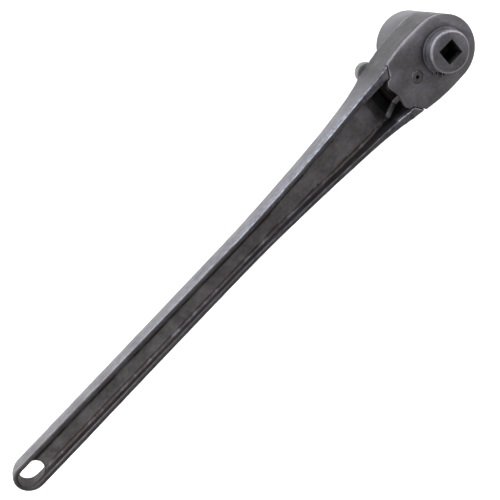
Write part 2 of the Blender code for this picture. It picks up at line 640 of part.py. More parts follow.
def make_tongue(mat):
    """Flat tongue riveted to the pawl's tail, bent down and up again to a round tip."""
    top = PAWL_TOP + GAP + TONGUE_THICK
    half = TONGUE_WIDTH / 2
    start = PAWL_HUB_RADIUS + 0.2
    stations = [(start, top), (TONGUE_STEP_AT, top), (TONGUE_BEND_AT, top - TONGUE_BEND_DROP)]
    tip_top = top - TONGUE_BEND_DROP + TONGUE_TIP_RISE
    last = TONGUE_TIP_AT - half
    slope = TONGUE_TIP_RISE / (TONGUE_TIP_AT - TONGUE_BEND_AT)
    outline = [(d, half, z) for d, z in stations]
    steps = 6
    for k in range(steps + 1):
        a = math.pi / 2 * k / steps
        d = last + half * math.sin(a)
        outline.append((d, half * math.cos(a), tip_top - slope * (TONGUE_TIP_AT - d)))
    bm = bmesh.new()
    layers = []
    for drop in (0.0, TONGUE_THICK):
        left = [bm.verts.new((PIN_X - d, y, z - drop)) for d, y, z in outline]
        right = [v if y < 1e-6 else bm.verts.new((PIN_X - d, -y, z - drop))
                 for v, (d, y, z) in zip(left, outline)]
        layers.append((left, right))
        for k in range(len(outline) - 1):
            bm.faces.new(tuple(dict.fromkeys((left[k], left[k + 1], right[k + 1], right[k]))))
    for side in (0, 1):
        for k in range(len(outline) - 1):
            upper, lower = layers[0][side], layers[1][side]
            bm.faces.new((upper[k], upper[k + 1], lower[k + 1], lower[k]))
    bm.faces.new((layers[0][0][0], layers[0][1][0], layers[1][1][0], layers[1][0][0]))
    swing = Matrix.Rotation(HALF_SWING, 3, 'Z')
    bmesh.ops.rotate(bm, cent=(PIN_X, 0, 0), matrix=swing, verts=bm.verts)
    tongue = finish_mesh("shift_tongue", bm, mat)
    for k, at in enumerate(RIVETS_AT):
        combine(tongue, rod("tongue_hole_tool_%d" % k, RIVET_RADIUS + GAP, PAWL_TOP - EPS, top + EPS,
                            centre=polar(at, math.pi + HALF_SWING, (PIN_X, 0.0)), segments=12))
    return tongue


def make_rivets(mat):
    """The rivets through the tongue into the pawl, nearest the pin first."""
    top = PAWL_TOP + GAP + TONGUE_THICK + GAP
    profile = ((0, PAWL_TOP - RIVET_DEPTH), (RIVET_RADIUS, PAWL_TOP - RIVET_DEPTH),
               (RIVET_RADIUS, top), (RIVET_HEAD_RADIUS, top),
               (RIVET_HEAD_RADIUS * 0.6, top + RIVET_HEAD_THICK), (0, top + RIVET_HEAD_THICK))
    return [lathe("tongue_rivet_%d" % (k + 1), profile, mat, 12,
                  polar(at, math.pi + HALF_SWING, (PIN_X, 0.0)))
            for k, at in enumerate(RIVETS_AT)]


# ---- pieces that turn with the shift lever ------------------------------------------------------
def spring_ends():
    """Where the over-centre spring hooks in: the crank, then the pawl's tail."""
    crank = polar(CRANK_PEG_AT, LEVER_TURN, (SHIFT_X, 0.0))
    tail = polar(SPRING_TAIL_AT, math.pi + HALF_SWING, (PIN_X, 0.0))
    return crank, tail


def lever_heights():
    """Washer top, lever top and lever hub bottom on the head's rear face."""
    washer_top = HEAD_BACK - GAP
    lever_top = washer_top - WASHER_THICK - GAP
    return washer_top, lever_top, lever_top - LEVER_HUB_THICK


def make_shift_shaft(mat):
    """Shaft through the casting, with a crank disc on the chamber's floor."""
    crank_low = CHAMBER_Z + GAP
    crank_top = crank_low + CRANK_THICK
    bottom = lever_heights()[2] - 0.4
    profile = ((0, bottom), (SHIFT_SHAFT_RADIUS - 0.5, bottom), (SHIFT_SHAFT_RADIUS, bottom + 0.5),
               (SHIFT_SHAFT_RADIUS, crank_low), (CRANK_RADIUS, crank_low),
               (CRANK_RADIUS, crank_top), (0, crank_top))
    shaft = lathe("shift_shaft", profile, mat, 28, (SHIFT_X, 0.0))
    combine(shaft, rod("crank_hole_tool", SPRING_WIRE + GAP, crank_top - SPRING_HOOK - GAP,
                       crank_top + EPS, centre=spring_ends()[0], segments=12))
    combine(shaft, lever_pin_rod("shaft_cross_hole_tool", LEVER_PIN_RADIUS + GAP, EPS))
    return shaft


def lever_pin_rod(name, radius, extra, mat=None):
    """Cross pin, or the hole for it, square to the lever's arm."""
    hub_bottom = lever_heights()[2]
    height = hub_bottom + LEVER_PIN_EDGE + LEVER_PIN_RADIUS + GAP
    length = 2 * (LEVER_HUB_RADIUS + extra)
    bm = bmesh.new()
    place = (Matrix.Translation((SHIFT_X, 0, height)) @ Matrix.Rotation(LEVER_TURN, 4, 'Z')
             @ Matrix.Rotation(math.pi / 2, 4, 'X'))
    bmesh.ops.create_cone(bm, cap_ends=True, segments=16, radius1=radius, radius2=radius,
                          depth=length, matrix=place)
    return finish_mesh(name, bm, mat)


def make_thumb_lever(mat):
    """Cast lever: hub on the shaft, tapered arm and a domed knob past the head's side."""
    _, lever_top, hub_bottom = lever_heights()
    pivot = (SHIFT_X, 0.0)
    knob = polar(LEVER_REACH, LEVER_TURN, pivot)
    near, far = LEVER_HUB_RADIUS * 0.3, LEVER_REACH - KNOB_RADIUS * 0.2
    arm = [(near, -LEVER_HUB_RADIUS + 0.9), (far, -LEVER_HALF),
           (far, LEVER_HALF), (near, LEVER_HUB_RADIUS - 0.9)]
    arm = turned([(SHIFT_X + x, y) for x, y in arm], LEVER_TURN, pivot)
    lever = prism("thumb_lever", arm, lever_top - LEVER_THICK, lever_top - LEVER_STEP, mat)
    hub = rod("lever_hub_tool", LEVER_HUB_RADIUS, hub_bottom, lever_top, centre=pivot, segments=32)
    low = lever_top - KNOB_THICK
    profile = ((0, low), (KNOB_RADIUS - KNOB_DOME * 1.4, low), (KNOB_RADIUS - KNOB_DOME * 0.4, low + 0.8),
               (KNOB_RADIUS, low + KNOB_DOME + 0.4), (KNOB_RADIUS, lever_top - 0.6),
               (KNOB_RADIUS - 0.6, lever_top), (0, lever_top))
    ball = lathe("lever_knob_tool", profile, segments=28, centre=knob)
    combine(lever, hub, 'UNION')
    combine(lever, ball, 'UNION')
    combine(lever, lever_pin_rod("lever_cross_hole_tool", LEVER_PIN_RADIUS + GAP, EPS))
    combine(lever, rod("lever_bore_tool", SHIFT_SHAFT_RADIUS + GAP, hub_bottom - EPS,
                       lever_top + EPS, centre=pivot, segments=26))
    return lever


def make_washer(mat):
    """Plain washer between the lever and the casting."""
    top = lever_heights()[0]
    inner = SHIFT_SHAFT_RADIUS + GAP
    profile = ((inner, top - WASHER_THICK), (WASHER_RADIUS, top - WASHER_THICK),
               (WASHER_RADIUS, top), (inner, top))
    return lathe("lever_washer", profile, mat, 28, (SHIFT_X, 0.0))


def make_spring(mat):
    """Over-centre spring: an open loop of wire with one end down in the crank, one up in the tail."""
    crank, tail = spring_ends()
    crank_top = CHAMBER_Z + GAP + CRANK_THICK
    level = (crank_top + PAWL_BOTTOM) / 2
    chord = Vector((tail[0] - crank[0], tail[1] - crank[1]))
    mid = Vector(crank) + chord / 2
    side = Vector((chord.y, -chord.x)).normalized()
    if side.x > 0:
        side = -side
    rise = math.sqrt(max(0.1, SPRING_LOOP ** 2 - (chord.length / 2) ** 2))
    centre = mid + side * rise
    start = math.atan2(crank[1] - centre.y, crank[0] - centre.x)
    end = math.atan2(tail[1] - centre.y, tail[0] - centre.x)
    if end > start:
        end -= 2 * math.pi
    if abs(end - start) < math.pi:
        end += 2 * math.pi
    points = [(crank[0], crank[1], crank_top - SPRING_HOOK), (crank[0], crank[1], level - 0.3)]
    points += [(x, y, level) for x, y in arc(SPRING_LOOP, start, end, 20, centre)[1:-1]]
    points += [(tail[0], tail[1], level + 0.3), (tail[0], tail[1], PAWL_BOTTOM + SPRING_HOOK)]
    curve = bpy.data.curves.new("shift_spring", 'CURVE')
    curve.dimensions = '3D'
    spline = curve.splines.new('POLY')
    spline.points.add(len(points) - 1)
    for point, (x, y, z) in zip(spline.points, points):
        point.co = (x * MM, y * MM, z * MM, 1.0)
    curve.bevel_depth = SPRING_WIRE * MM
    curve.bevel_resolution = 1
    curve.use_fill_caps = True
    curve.materials.append(mat)
    obj = bpy.data.objects.new("shift_spring", curve)
    bpy.context.scene.collection.objects.link(obj)
    return obj


# ---- assembly -----------------------------------------------------------------------------------
def pivot_at(name, x, pieces):
    """Empty on a vertical joint axis that carries the pieces turning about it."""
    empty = bpy.data.objects.new(name, None)
    empty.location = (x * MM, 0.0, 0.0)
    bpy.context.scene.collection.objects.link(empty)
    for piece in pieces:
        piece.parent = empty
        piece.matrix_parent_inverse = Matrix.Translation((-x * MM, 0.0, 0.0))
    return empty


def main():
    for obj in list(bpy.data.objects):
        bpy.data.objects.remove(obj, do_unlink=True)
    black = material("black_cast_iron", (0.072, 0.068, 0.072), 0.55, 0.55)
    plate = material("blued_plate", (0.085, 0.080, 0.088), 0.60, 0.48)
    gear = material("gear_steel", (0.080, 0.080, 0.092), 0.70, 0.40)
    bright = material("pin_steel", (0.120, 0.115, 0.115), 0.80, 0.38)
    rough = material("rough_cast", (0.120, 0.125, 0.105), 0.40, 0.75)
    wire = material("spring_wire", (0.300, 0.300, 0.310), 0.95, 0.30)
    make_casting(black)
    make_plate(plate)
    make_pawl_pin(bright)
    pivot_at("gear_axis", 0.0, [make_gear(gear), make_snap_ring(bright)])
    pivot_at("pawl_axis", PIN_X, [make_pawl(gear), make_tongue(bright)] + make_rivets(bright))
    pivot_at("shift_axis", SHIFT_X, [make_shift_shaft(bright), make_thumb_lever(rough),
                                     lever_pin_rod("lever_pin", LEVER_PIN_RADIUS, -0.2, wire),
                                     make_washer(bright), make_spring(wire)])


main()
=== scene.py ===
"""Hydrant wrench with a reversible ratchet head: the finished surfaces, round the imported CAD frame.

Metres, +Z along the gear's axis towards the square drive hub, handle along -X. The origin is the
centre of the pentagon socket's floor.
"""

import logging
import math
from dataclasses import dataclass, field
from enum import Enum
from typing import Callable, Iterable

import bmesh
import bpy
from mathutils import Matrix, Vector, noise


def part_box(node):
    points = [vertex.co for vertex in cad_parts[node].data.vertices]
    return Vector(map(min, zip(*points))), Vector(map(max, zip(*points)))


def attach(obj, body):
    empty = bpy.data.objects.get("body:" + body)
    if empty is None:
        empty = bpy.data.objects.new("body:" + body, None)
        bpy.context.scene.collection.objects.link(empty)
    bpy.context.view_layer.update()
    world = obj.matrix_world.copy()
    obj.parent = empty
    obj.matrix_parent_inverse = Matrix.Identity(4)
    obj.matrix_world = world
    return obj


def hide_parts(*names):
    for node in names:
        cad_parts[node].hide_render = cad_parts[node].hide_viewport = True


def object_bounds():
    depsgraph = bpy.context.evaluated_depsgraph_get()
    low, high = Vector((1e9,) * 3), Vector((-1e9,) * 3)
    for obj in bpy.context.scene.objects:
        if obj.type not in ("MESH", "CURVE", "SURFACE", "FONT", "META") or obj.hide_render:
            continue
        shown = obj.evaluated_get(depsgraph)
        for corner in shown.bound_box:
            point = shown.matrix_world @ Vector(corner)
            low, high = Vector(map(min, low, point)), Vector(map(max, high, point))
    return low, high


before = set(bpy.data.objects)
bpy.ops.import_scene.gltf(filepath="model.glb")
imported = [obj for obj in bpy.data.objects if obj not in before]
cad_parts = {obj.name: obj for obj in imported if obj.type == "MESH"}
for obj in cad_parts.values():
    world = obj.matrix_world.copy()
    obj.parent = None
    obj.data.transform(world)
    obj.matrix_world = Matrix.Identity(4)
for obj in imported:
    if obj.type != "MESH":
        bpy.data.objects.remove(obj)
CAD_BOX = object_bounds()

MM = 0.001
MERGE = 2e-6

Colour = tuple[float, float, float]
Place = tuple[float, float, float]
log = logging.getLogger("wrench")


class Slot(Enum):
    """Material slots of the record."""

    CAST = "black_cast_iron"
    PLATE = "blued_plate"
    GEAR = "gear_steel"
    PIN = "pin_steel"
    ROUGH = "rough_cast"
    WIRE = "spring_wire"


class Paint(Enum):
    """What a piece has painted on its mesh for its finish to read."""

    # wear on corners, and painted highlights
    RUBBED = "rubbed"
    # hollows, with rust and painted shade
    HOLLOW = "hollow"
    # painted shade
    SOOT = "soot"


class Body(Enum):
    """Bodies of the record."""

    FRAME = "frame"
    GEAR = "gear"
    PAWL = "pawl"
    SHIFTER = "shifter"


# ---- shader node groups -------------------------------------------------------------------------


@dataclass
class GroupMaker:
    """Builds one shader node group with named inputs and outputs.

    Args:
        name: the group's name.
    """

    name: str
    tree: bpy.types.NodeTree = field(init=False)
    entry: bpy.types.Node = field(init=False)
    exit: bpy.types.Node = field(init=False)

    def __post_init__(self) -> None:
        """Starts an empty group."""
        self.tree = bpy.data.node_groups.new(self.name, "ShaderNodeTree")
        self.entry = self.tree.nodes.new("NodeGroupInput")
        self.exit = self.tree.nodes.new("NodeGroupOutput")

    def takes(self, name: str, kind: str, value: float | Colour | None = None) -> None:
        """Adds an input.

        Args:
            name: the input's name.
            kind: Float, Vector or Color.
            value: its default value.
        """
        socket = self.tree.interface.new_socket(name, in_out="INPUT", socket_type=f"NodeSocket{kind}")
        if value is not None:
            socket.default_value = value

    def gives(self, name: str, kind: str, source: bpy.types.NodeSocket) -> None:
        """Adds an output and feeds it.

        Args:
            name: the output's name.
            kind: Float, Vector or Color.
            source: the socket that feeds it.
        """
        self.tree.interface.new_socket(name, in_out="OUTPUT", socket_type=f"NodeSocket{kind}")
        self.tree.links.new(source, self.exit.inputs[name])

    def noise(self, size: float, detail: float, rough: float, vector: bpy.types.NodeSocket,
              times: bpy.types.NodeSocket | None = None) -> bpy.types.NodeSocket:
        """A fractal noise.

        Args:
            size: noise scale, in features per metre, or a multiple of times.
            detail: octaves.
            rough: how strong the finer octaves are.
            vector: coordinates.
            times: socket whose value multiplies the scale.

        Returns:
            The noise's value socket.
        """
        node = self.tree.nodes.new("ShaderNodeTexNoise")
        node.inputs["Scale"].default_value = size
        node.inputs["Detail"].default_value = detail
        node.inputs["Roughness"].default_value = rough
        self.tree.links.new(vector, node.inputs["Vector"])
        if times is not None:
            self.tree.links.new(self.maths("MULTIPLY", times, size), node.inputs["Scale"])
        return node.outputs[0]

    def maths(self, operation: str, first: bpy.types.NodeSocket | float,
              second: bpy.types.NodeSocket | float = 0.0, clamp: bool = False) -> bpy.types.NodeSocket:
        """A Math node.

        Args:
            operation: Blender's name of the operation.
            first: socket or number.
            second: socket or number.
            clamp: keeps the result from 0 to 1.

        Returns:
            The result's socket.
        """
        node = self.tree.nodes.new("ShaderNodeMath")
        node.operation = operation
        node.use_clamp = clamp
        for place, value in enumerate((first, second)):
            if isinstance(value, bpy.types.NodeSocket):
                self.tree.links.new(value, node.inputs[place])
            else:
                node.inputs[place].default_value = value
        return node.outputs[0]

    def between(self, value: bpy.types.NodeSocket, low: bpy.types.NodeSocket | float,
                high: bpy.types.NodeSocket | float) -> bpy.types.NodeSocket:
        """A smooth step from 0 at low to 1 at high.

        Args:
            value: what is mapped.
            low: where the step starts.
            high: where it ends.

        Returns:
            The result's socket.
        """
        node = self.tree.nodes.new("ShaderNodeMapRange")
        node.interpolation_type = "SMOOTHSTEP"
        self.tree.links.new(value, node.inputs["Value"])
        for name, limit in (("From Min", low), ("From Max", high)):
            if isinstance(limit, bpy.types.NodeSocket):
                self.tree.links.new(limit, node.inputs[name])
            else:
                node.inputs[name].default_value = limit
        return node.outputs["Result"]


def metal_skin_group() -> bpy.types.NodeTree:
    """Skin of a metal surface: a fine grain, shallow pits and broad blotches.

    Returns:
        The group, with Vector, Grain and Pits in, and Height, Mottle and Blotch out.
    """
    maker = GroupMaker("metal_skin")
    maker.takes("Vector", "Vector")
    maker.takes("Grain", "Float", 900.0)
    maker.takes("Pits", "Float", 0.5)
    vector, grain, pits = maker.entry.outputs[0], maker.entry.outputs[1], maker.entry.outputs[2]
    fine = maker.noise(1.0, 3.0, 0.6, vector, grain)
    coarse = maker.noise(0.3, 4.0, 0.55, vector, grain)
    blotch = maker.noise(55.0, 5.0, 0.6, vector)
    cloud = maker.noise(16.0, 3.0, 0.5, vector)
    spots = maker.tree.nodes.new("ShaderNodeTexVoronoi")
    spots.feature = "SMOOTH_F1"
    spots.inputs["Smoothness"].default_value = 0.4
    maker.tree.links.new(vector, spots.inputs["Vector"])
    maker.tree.links.new(maker.maths("MULTIPLY", grain, 0.42), spots.inputs["Scale"])
    hollow = maker.maths("MULTIPLY", maker.between(spots.outputs["Distance"], 0.34, 0.02), pits)
    rise = maker.maths("ADD", maker.maths("MULTIPLY", fine, 0.45), maker.maths("MULTIPLY", coarse, 0.55))
    height = maker.maths("SUBTRACT", rise, maker.maths("MULTIPLY", hollow, 0.5))
    mottle = maker.maths("ADD", maker.maths("MULTIPLY", maker.between(blotch, 0.34, 0.68), 0.6),
                         maker.maths("MULTIPLY", maker.between(coarse, 0.35, 0.65), 0.4))
    maker.gives("Height", "Float", height)
    maker.gives("Mottle", "Float", mottle)
    broad = maker.maths("ADD", maker.maths("MULTIPLY", cloud, 0.5), maker.maths("MULTIPLY", blotch, 0.5))
    maker.gives("Blotch", "Float", maker.between(broad, 0.36, 0.62))
    return maker.tree


def handling_group() -> bpy.types.NodeTree:
    """Wear on corners with painted highlights, rust and painted shade in hollows, and painted shade, from
    what each piece has painted on it.

    Returns:
        The group, with Vector and Break-up in, and a mask out for each of these three.
    """
    maker = GroupMaker("handling")
    maker.takes("Vector", "Vector")
    maker.takes("Break-up", "Float", 300.0)
    vector, breaks = maker.entry.outputs[0], maker.entry.outputs[1]
    speckle = maker.noise(1.0, 5.0, 0.7, vector, breaks)
    patches = maker.noise(0.22, 4.0, 0.6, vector, breaks)
    for paint, low, high, noisy in ((Paint.RUBBED, 0.44, 0.60, speckle),
                                    (Paint.HOLLOW, 0.30, 0.52, patches),
                                    (Paint.SOOT, 0.12, 0.40, patches)):
        painted = maker.tree.nodes.new("ShaderNodeAttribute")
        painted.attribute_name = paint.value
        broken = maker.between(noisy, low, high)
        maker.gives(paint.value.capitalize(), "Float",
                    maker.maths("MULTIPLY", painted.outputs["Fac"], broken, clamp=True))
    return maker.tree


def stain_group() -> bpy.types.NodeTree:
    """A stained place on a piece, such as rust left in a corner, or a patch of painted shade.

    Returns:
        The group, with Vector, Centre, Reach and Break-up in, and Mask out.
    """
    maker = GroupMaker("stain")
    maker.takes("Vector", "Vector")
    maker.takes("Centre", "Vector")
    maker.takes("Reach", "Vector", (0.01, 0.01, 0.01))
    maker.takes("Break-up", "Float", 250.0)
    vector, centre, reach, breaks = (maker.entry.outputs[i] for i in range(4))
    away = maker.tree.nodes.new("ShaderNodeVectorMath")
    away.operation = "SUBTRACT"
    scaled = maker.tree.nodes.new("ShaderNodeVectorMath")
    scaled.operation = "DIVIDE"
    far = maker.tree.nodes.new("ShaderNodeVectorMath")
    far.operation = "LENGTH"
    maker.tree.links.new(vector, away.inputs[0])
    maker.tree.links.new(centre, away.inputs[1])
    maker.tree.links.new(away.outputs[0], scaled.inputs[0])
    maker.tree.links.new(reach, scaled.inputs[1])
    maker.tree.links.new(scaled.outputs[0], far.inputs[0])
    near = maker.between(far.outputs["Value"], 1.0, 0.15)
    broken = maker.between(maker.noise(1.0, 5.0, 0.6, vector, breaks), 0.34, 0.62)
    maker.gives("Mask", "Float", maker.maths("MULTIPLY", near, broken, clamp=True))
    return maker.tree


@dataclass
class Groups:
    """The shader node groups that the finishes share, each built once."""

    skin: bpy.types.NodeTree = field(default_factory=metal_skin_group)
    handling: bpy.types.NodeTree = field(default_factory=handling_group)
    stain: bpy.types.NodeTree = field(default_factory=stain_group)


# ---- finishes -----------------------------------------------------------------------------------


@dataclass(frozen=True)
class Stain:
    """One stained place, or one place with painted shade.

    Args:
        centre: its middle, in metres.
        reach: how far it spreads along each axis, in metres.
        colour: its colour.
        strength: how much of that colour shows at its middle.
    """

    centre: Place
    reach: Place
    colour: Colour
    strength: float


@dataclass(frozen=True)
class MetalFinish:
    """A metal finish with its skin, gloss and wear, and painted highlights and shade.

    Args:
        name: the material's name.
        slot: the record's slot it stands for; not used.
        dark: colour in the hollows of the mottle.
        light: colour on its high places.
        worn: colour on corners where wear shows, and on painted highlights.
        metallic: how metallic it reads.
        roughness: lowest roughness.
        roughness_spread: what the blotches add to it.
        grain: grains per metre.
        pits: strength of the pits.
        relief: height of the skin, in metres.
        rubbed_strength: how much of that colour shows on those places.
        hollow: colour in the concave corners.
        hollow_strength: how much of that colour shows.
        stains: stained places, and places with painted shade.
    """

    name: str
    slot: Slot
    dark: Colour
    light: Colour
    worn: Colour
    metallic: float
    roughness: float
    roughness_spread: float
    grain: float
    pits: float
    relief: float
    rubbed_strength: float
    hollow: Colour = (0.030, 0.022, 0.018)
    hollow_strength: float = 0.6
    stains: tuple[Stain, ...] = ()

    def material(self, groups: Groups) -> bpy.types.Material:
        """Builds the material.

        Args:
            groups: the shared node groups.

        Returns:
            The material.
        """
        made = bpy.data.materials.new(self.name)
        made.use_nodes = True
        tree = made.node_tree
        shader = tree.nodes["Principled BSDF"]
        place = tree.nodes.new("ShaderNodeTexCoord").outputs["Object"]

        def group(source: bpy.types.NodeTree, **values: object) -> bpy.types.Node:
            """Places a shared group on the object's coordinates with its own values."""
            node = tree.nodes.new("ShaderNodeGroup")
            node.node_tree = source
            tree.links.new(place, node.inputs["Vector"])
            for name, value in values.items():
                node.inputs[name.replace("_", "-")].default_value = value
            return node

        def mix(share: bpy.types.NodeSocket, under: bpy.types.NodeSocket | Colour,
                over: Colour, strength: float = 1.0) -> bpy.types.NodeSocket:
            """Lays one colour over another."""
            node = tree.nodes.new("ShaderNodeMix")
            node.data_type = "RGBA"
            if strength < 1.0:
                part = tree.nodes.new("ShaderNodeMath")
                part.operation = "MULTIPLY"
                part.inputs[1].default_value = strength
                tree.links.new(share, part.inputs[0])
                share = part.outputs[0]
            tree.links.new(share, node.inputs[0])
            if isinstance(under, bpy.types.NodeSocket):
                tree.links.new(under, node.inputs[6])
            else:
                node.inputs[6].default_value = (*under, 1.0)
            node.inputs[7].default_value = (*over, 1.0)
            return node.outputs[2]

        skin = group(groups.skin, Grain=self.grain, Pits=self.pits)
        handled = group(groups.handling, Break_up=self.grain * 0.5)
        colour = mix(skin.outputs["Mottle"], self.dark, self.light)
        for stain in self.stains:
            spot = group(groups.stain, Centre=stain.centre, Reach=stain.reach, Break_up=220.0)
            colour = mix(spot.outputs["Mask"], colour, stain.colour, stain.strength)
        # rust and painted shade in the hollows
        colour = mix(handled.outputs["Hollow"], colour, self.hollow, self.hollow_strength)
        # wear on corners and painted highlights
        colour = mix(handled.outputs["Rubbed"], colour, self.worn, self.rubbed_strength)
        # painted shade laid over the colour
        colour = mix(handled.outputs["Soot"], colour, SOOT, 0.9)
        tree.links.new(colour, shader.inputs["Base Color"])
        gloss = tree.nodes.new("ShaderNodeMapRange")
        gloss.inputs["To Min"].default_value = self.roughness
        gloss.inputs["To Max"].default_value = self.roughness + self.roughness_spread
        tree.links.new(skin.outputs["Blotch"], gloss.inputs["Value"])
        tree.links.new(gloss.outputs["Result"], shader.inputs["Roughness"])
        shader.inputs["Metallic"].default_value = self.metallic
        bump = tree.nodes.new("ShaderNodeBump")
        bump.inputs["Strength"].default_value = 1.0
        bump.inputs["Distance"].default_value = self.relief
        tree.links.new(skin.outputs["Height"], bump.inputs["Height"])
        tree.links.new(bump.outputs["Normal"], shader.inputs["Normal"])
        return made


RUST = (0.085, 0.036, 0.018)
# colour of the painted shade
SOOT = (0.020, 0.016, 0.016)

CASTING_FINISH = MetalFinish(
    name="blacked_casting", slot=Slot.CAST, dark=(0.120, 0.112, 0.116), light=(0.205, 0.195, 0.202),
    # the bluish colour serves both the wear on corners and the painted highlights
    worn=(0.42, 0.50, 0.66), metallic=0.85, roughness=0.40, roughness_spread=0.16, grain=950.0, pits=0.5,
    relief=0.00022, rubbed_strength=0.45, hollow=(0.048, 0.031, 0.024), hollow_strength=0.85,
    stains=(
        Stain((-0.450, 0.0, 0.029), (0.020, 0.016, 0.006), RUST, 0.7),
        Stain((-0.110, -0.011, 0.026), (0.070, 0.006, 0.007), RUST, 0.6),
        # painted shade on the head's lower part, round the bell
        Stain((-0.010, 0.0, 0.004), (0.045, 0.045, 0.009), (0.050, 0.048, 0.050), 0.75),
    ))
PLATE_FINISH = MetalFinish(
    name="blued_cover_plate", slot=Slot.PLATE, dark=(0.128, 0.117, 0.127), light=(0.195, 0.181, 0.196),
    worn=(0.30, 0.24, 0.21), metallic=0.85, roughness=0.46, roughness_spread=0.12, grain=1300.0, pits=0.15,
    relief=0.00007, rubbed_strength=0.3, hollow=(0.135, 0.092, 0.070), hollow_strength=0.8)
GEAR_FINISH = MetalFinish(
    name="forged_gear", slot=Slot.GEAR, dark=(0.140, 0.132, 0.142), light=(0.215, 0.205, 0.222),
    worn=(0.42, 0.45, 0.55), metallic=0.9, roughness=0.38, roughness_spread=0.16, grain=1500.0, pits=0.35,
    relief=0.00010, rubbed_strength=0.25)
PIN_FINISH = MetalFinish(
    name="oiled_pin", slot=Slot.PIN, dark=(0.120, 0.110, 0.116), light=(0.220, 0.210, 0.225),
    worn=(0.38, 0.39, 0.45), metallic=0.95, roughness=0.34, roughness_spread=0.16, grain=1800.0, pits=0.2,
    relief=0.00006, rubbed_strength=0.4)
ROUGH_FINISH = MetalFinish(
    name="rough_lever", slot=Slot.ROUGH, dark=(0.075, 0.075, 0.068), light=(0.230, 0.230, 0.215),
    worn=(0.30, 0.31, 0.28), metallic=0.6, roughness=0.50, roughness_spread=0.2, grain=700.0, pits=0.9,
    relief=0.00045, rubbed_strength=0.4)
WIRE_FINISH = MetalFinish(
    name="drawn_wire", slot=Slot.WIRE, dark=(0.20, 0.20, 0.21), light=(0.36, 0.36, 0.37),
    worn=(0.5, 0.5, 0.52), metallic=1.0, roughness=0.26, roughness_spread=0.12, grain=2600.0, pits=0.1,
    relief=0.00003, rubbed_strength=0.4)


# ---- meshes -------------------------------------------------------------------------------------


def merged_copy(node: str) -> bmesh.types.BMesh:
    """A closed copy of a CAD node's mesh.

    Args:
        node: the CAD node's name.

    Returns:
        A new bmesh with its doubles merged.
    """
    mesh = bmesh.new()
    mesh.from_mesh(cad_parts[node].data)
    bmesh.ops.remove_doubles(mesh, verts=mesh.verts, dist=MERGE)
    return mesh


def eased(mesh: bmesh.types.BMesh, radius: float, corner_deg: float = 28.0, segments: int = 2) -> None:
    """Eases the sharp edges of a faceted solid.

    Args:
        mesh: the solid.
        radius: width of each eased edge, in metres.
        corner_deg: edges that turn more than this are eased.
        segments: rows of faces across an eased edge.
    """
    bmesh.ops.dissolve_limit(mesh, angle_limit=math.radians(1.0), use_dissolve_boundaries=False,
                             verts=mesh.verts, edges=mesh.edges, delimit=set())
    sharp = [e for e in mesh.edges if e.is_manifold and e.calc_face_angle(0.0) > math.radians(corner_deg)]
    made = bmesh.ops.bevel(mesh, geom=sharp, offset=radius, offset_type="OFFSET", segments=segments,
                           profile=0.5, affect="EDGES", clamp_overlap=True, material=-1)
    rubbed = mesh.loops.layers.float.new(Paint.RUBBED.value)
    for face in made["faces"]:
        for loop in face.loops:
            loop[rubbed] = 1.0


def painted(mesh: bmesh.types.BMesh, paint: Paint, picks: Callable[[bmesh.types.BMFace], bool],
            strength: float = 1.0) -> None:
    """Paints the faces that a test picks.

    Args:
        mesh: the solid.
        paint: what is painted.
        picks: tells whether a face is painted.
        strength: how strongly it is painted.
    """
    layer = mesh.loops.layers.float.get(paint.value) or mesh.loops.layers.float.new(paint.value)
    for face in mesh.faces:
        if picks(face):
            for loop in face.loops:
                loop[layer] = strength


def piece(name: str, mesh: bmesh.types.BMesh, smooth_deg: float = 32.0) -> bpy.types.Object:
    """Makes an object of a finished mesh, at the origin.

    Args:
        name: the object's name.
        mesh: the finished bmesh, which is freed.
        smooth_deg: edges that turn more than this stay sharp.

    Returns:
        The object.
    """
    data = bpy.data.meshes.new(name)
    mesh.to_mesh(data)
    mesh.free()
    data.polygons.foreach_set("use_smooth", [True] * len(data.polygons))
    data.set_sharp_from_angle(angle=math.radians(smooth_deg))
    made = bpy.data.objects.new(name, data)
    bpy.context.scene.collection.objects.link(made)
    return made


def remeshed(name: str, mesh: bmesh.types.BMesh, voxel: float) -> bmesh.types.BMesh:
    """Turns a faceted solid into an even skin of small faces.

    Args:
        name: name of the object used for the work.
        mesh: the solid, which is freed.
        voxel: size of the faces, in metres.

    Returns:
        The skin as a new bmesh.
    """
    worker = piece(f"{name}_work", mesh)
    skin = worker.modifiers.new("skin", "REMESH")
    skin.mode = "VOXEL"
    skin.voxel_size = voxel
    skin.use_smooth_shade = True
    ready = worker.evaluated_get(bpy.context.evaluated_depsgraph_get())
    result = bmesh.new()
    result.from_mesh(ready.to_mesh())
    ready.to_mesh_clear()
    old = worker.data
    bpy.data.objects.remove(worker)
    bpy.data.meshes.remove(old)
    return result


def sand_cast(mesh: bmesh.types.BMesh, softening: int, lumps: Iterable[tuple[float, float]]) -> None:
    """Softens a skin and gives it the uneven surface of a sand casting.

    Args:
        mesh: the skin.
        softening: rounds of smoothing.
        lumps: spacing and height of each layer of unevenness, in metres.
    """
    for _ in range(softening):
        bmesh.ops.smooth_vert(mesh, verts=mesh.verts, factor=0.5,
                              use_axis_x=True, use_axis_y=True, use_axis_z=True)
    mesh.normal_update()
    layers = list(lumps)
    moves = [sum(noise.noise(v.co / spacing) * height for spacing, height in layers)
             for v in mesh.verts]
    normals = [v.normal.copy() for v in mesh.verts]
    for vert, normal, move in zip(mesh.verts, normals, moves):
        vert.co += normal * move


def keep_inside(mesh: bmesh.types.BMesh, node: str) -> None:
    """Keeps a skin inside the box of the CAD node it stands for.

    Args:
        mesh: the skin.
        node: the CAD node.
    """
    low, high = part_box(node)
    for vert in mesh.verts:
        vert.co = Vector(min(max(here, least), most) for here, least, most in zip(vert.co, low, high))


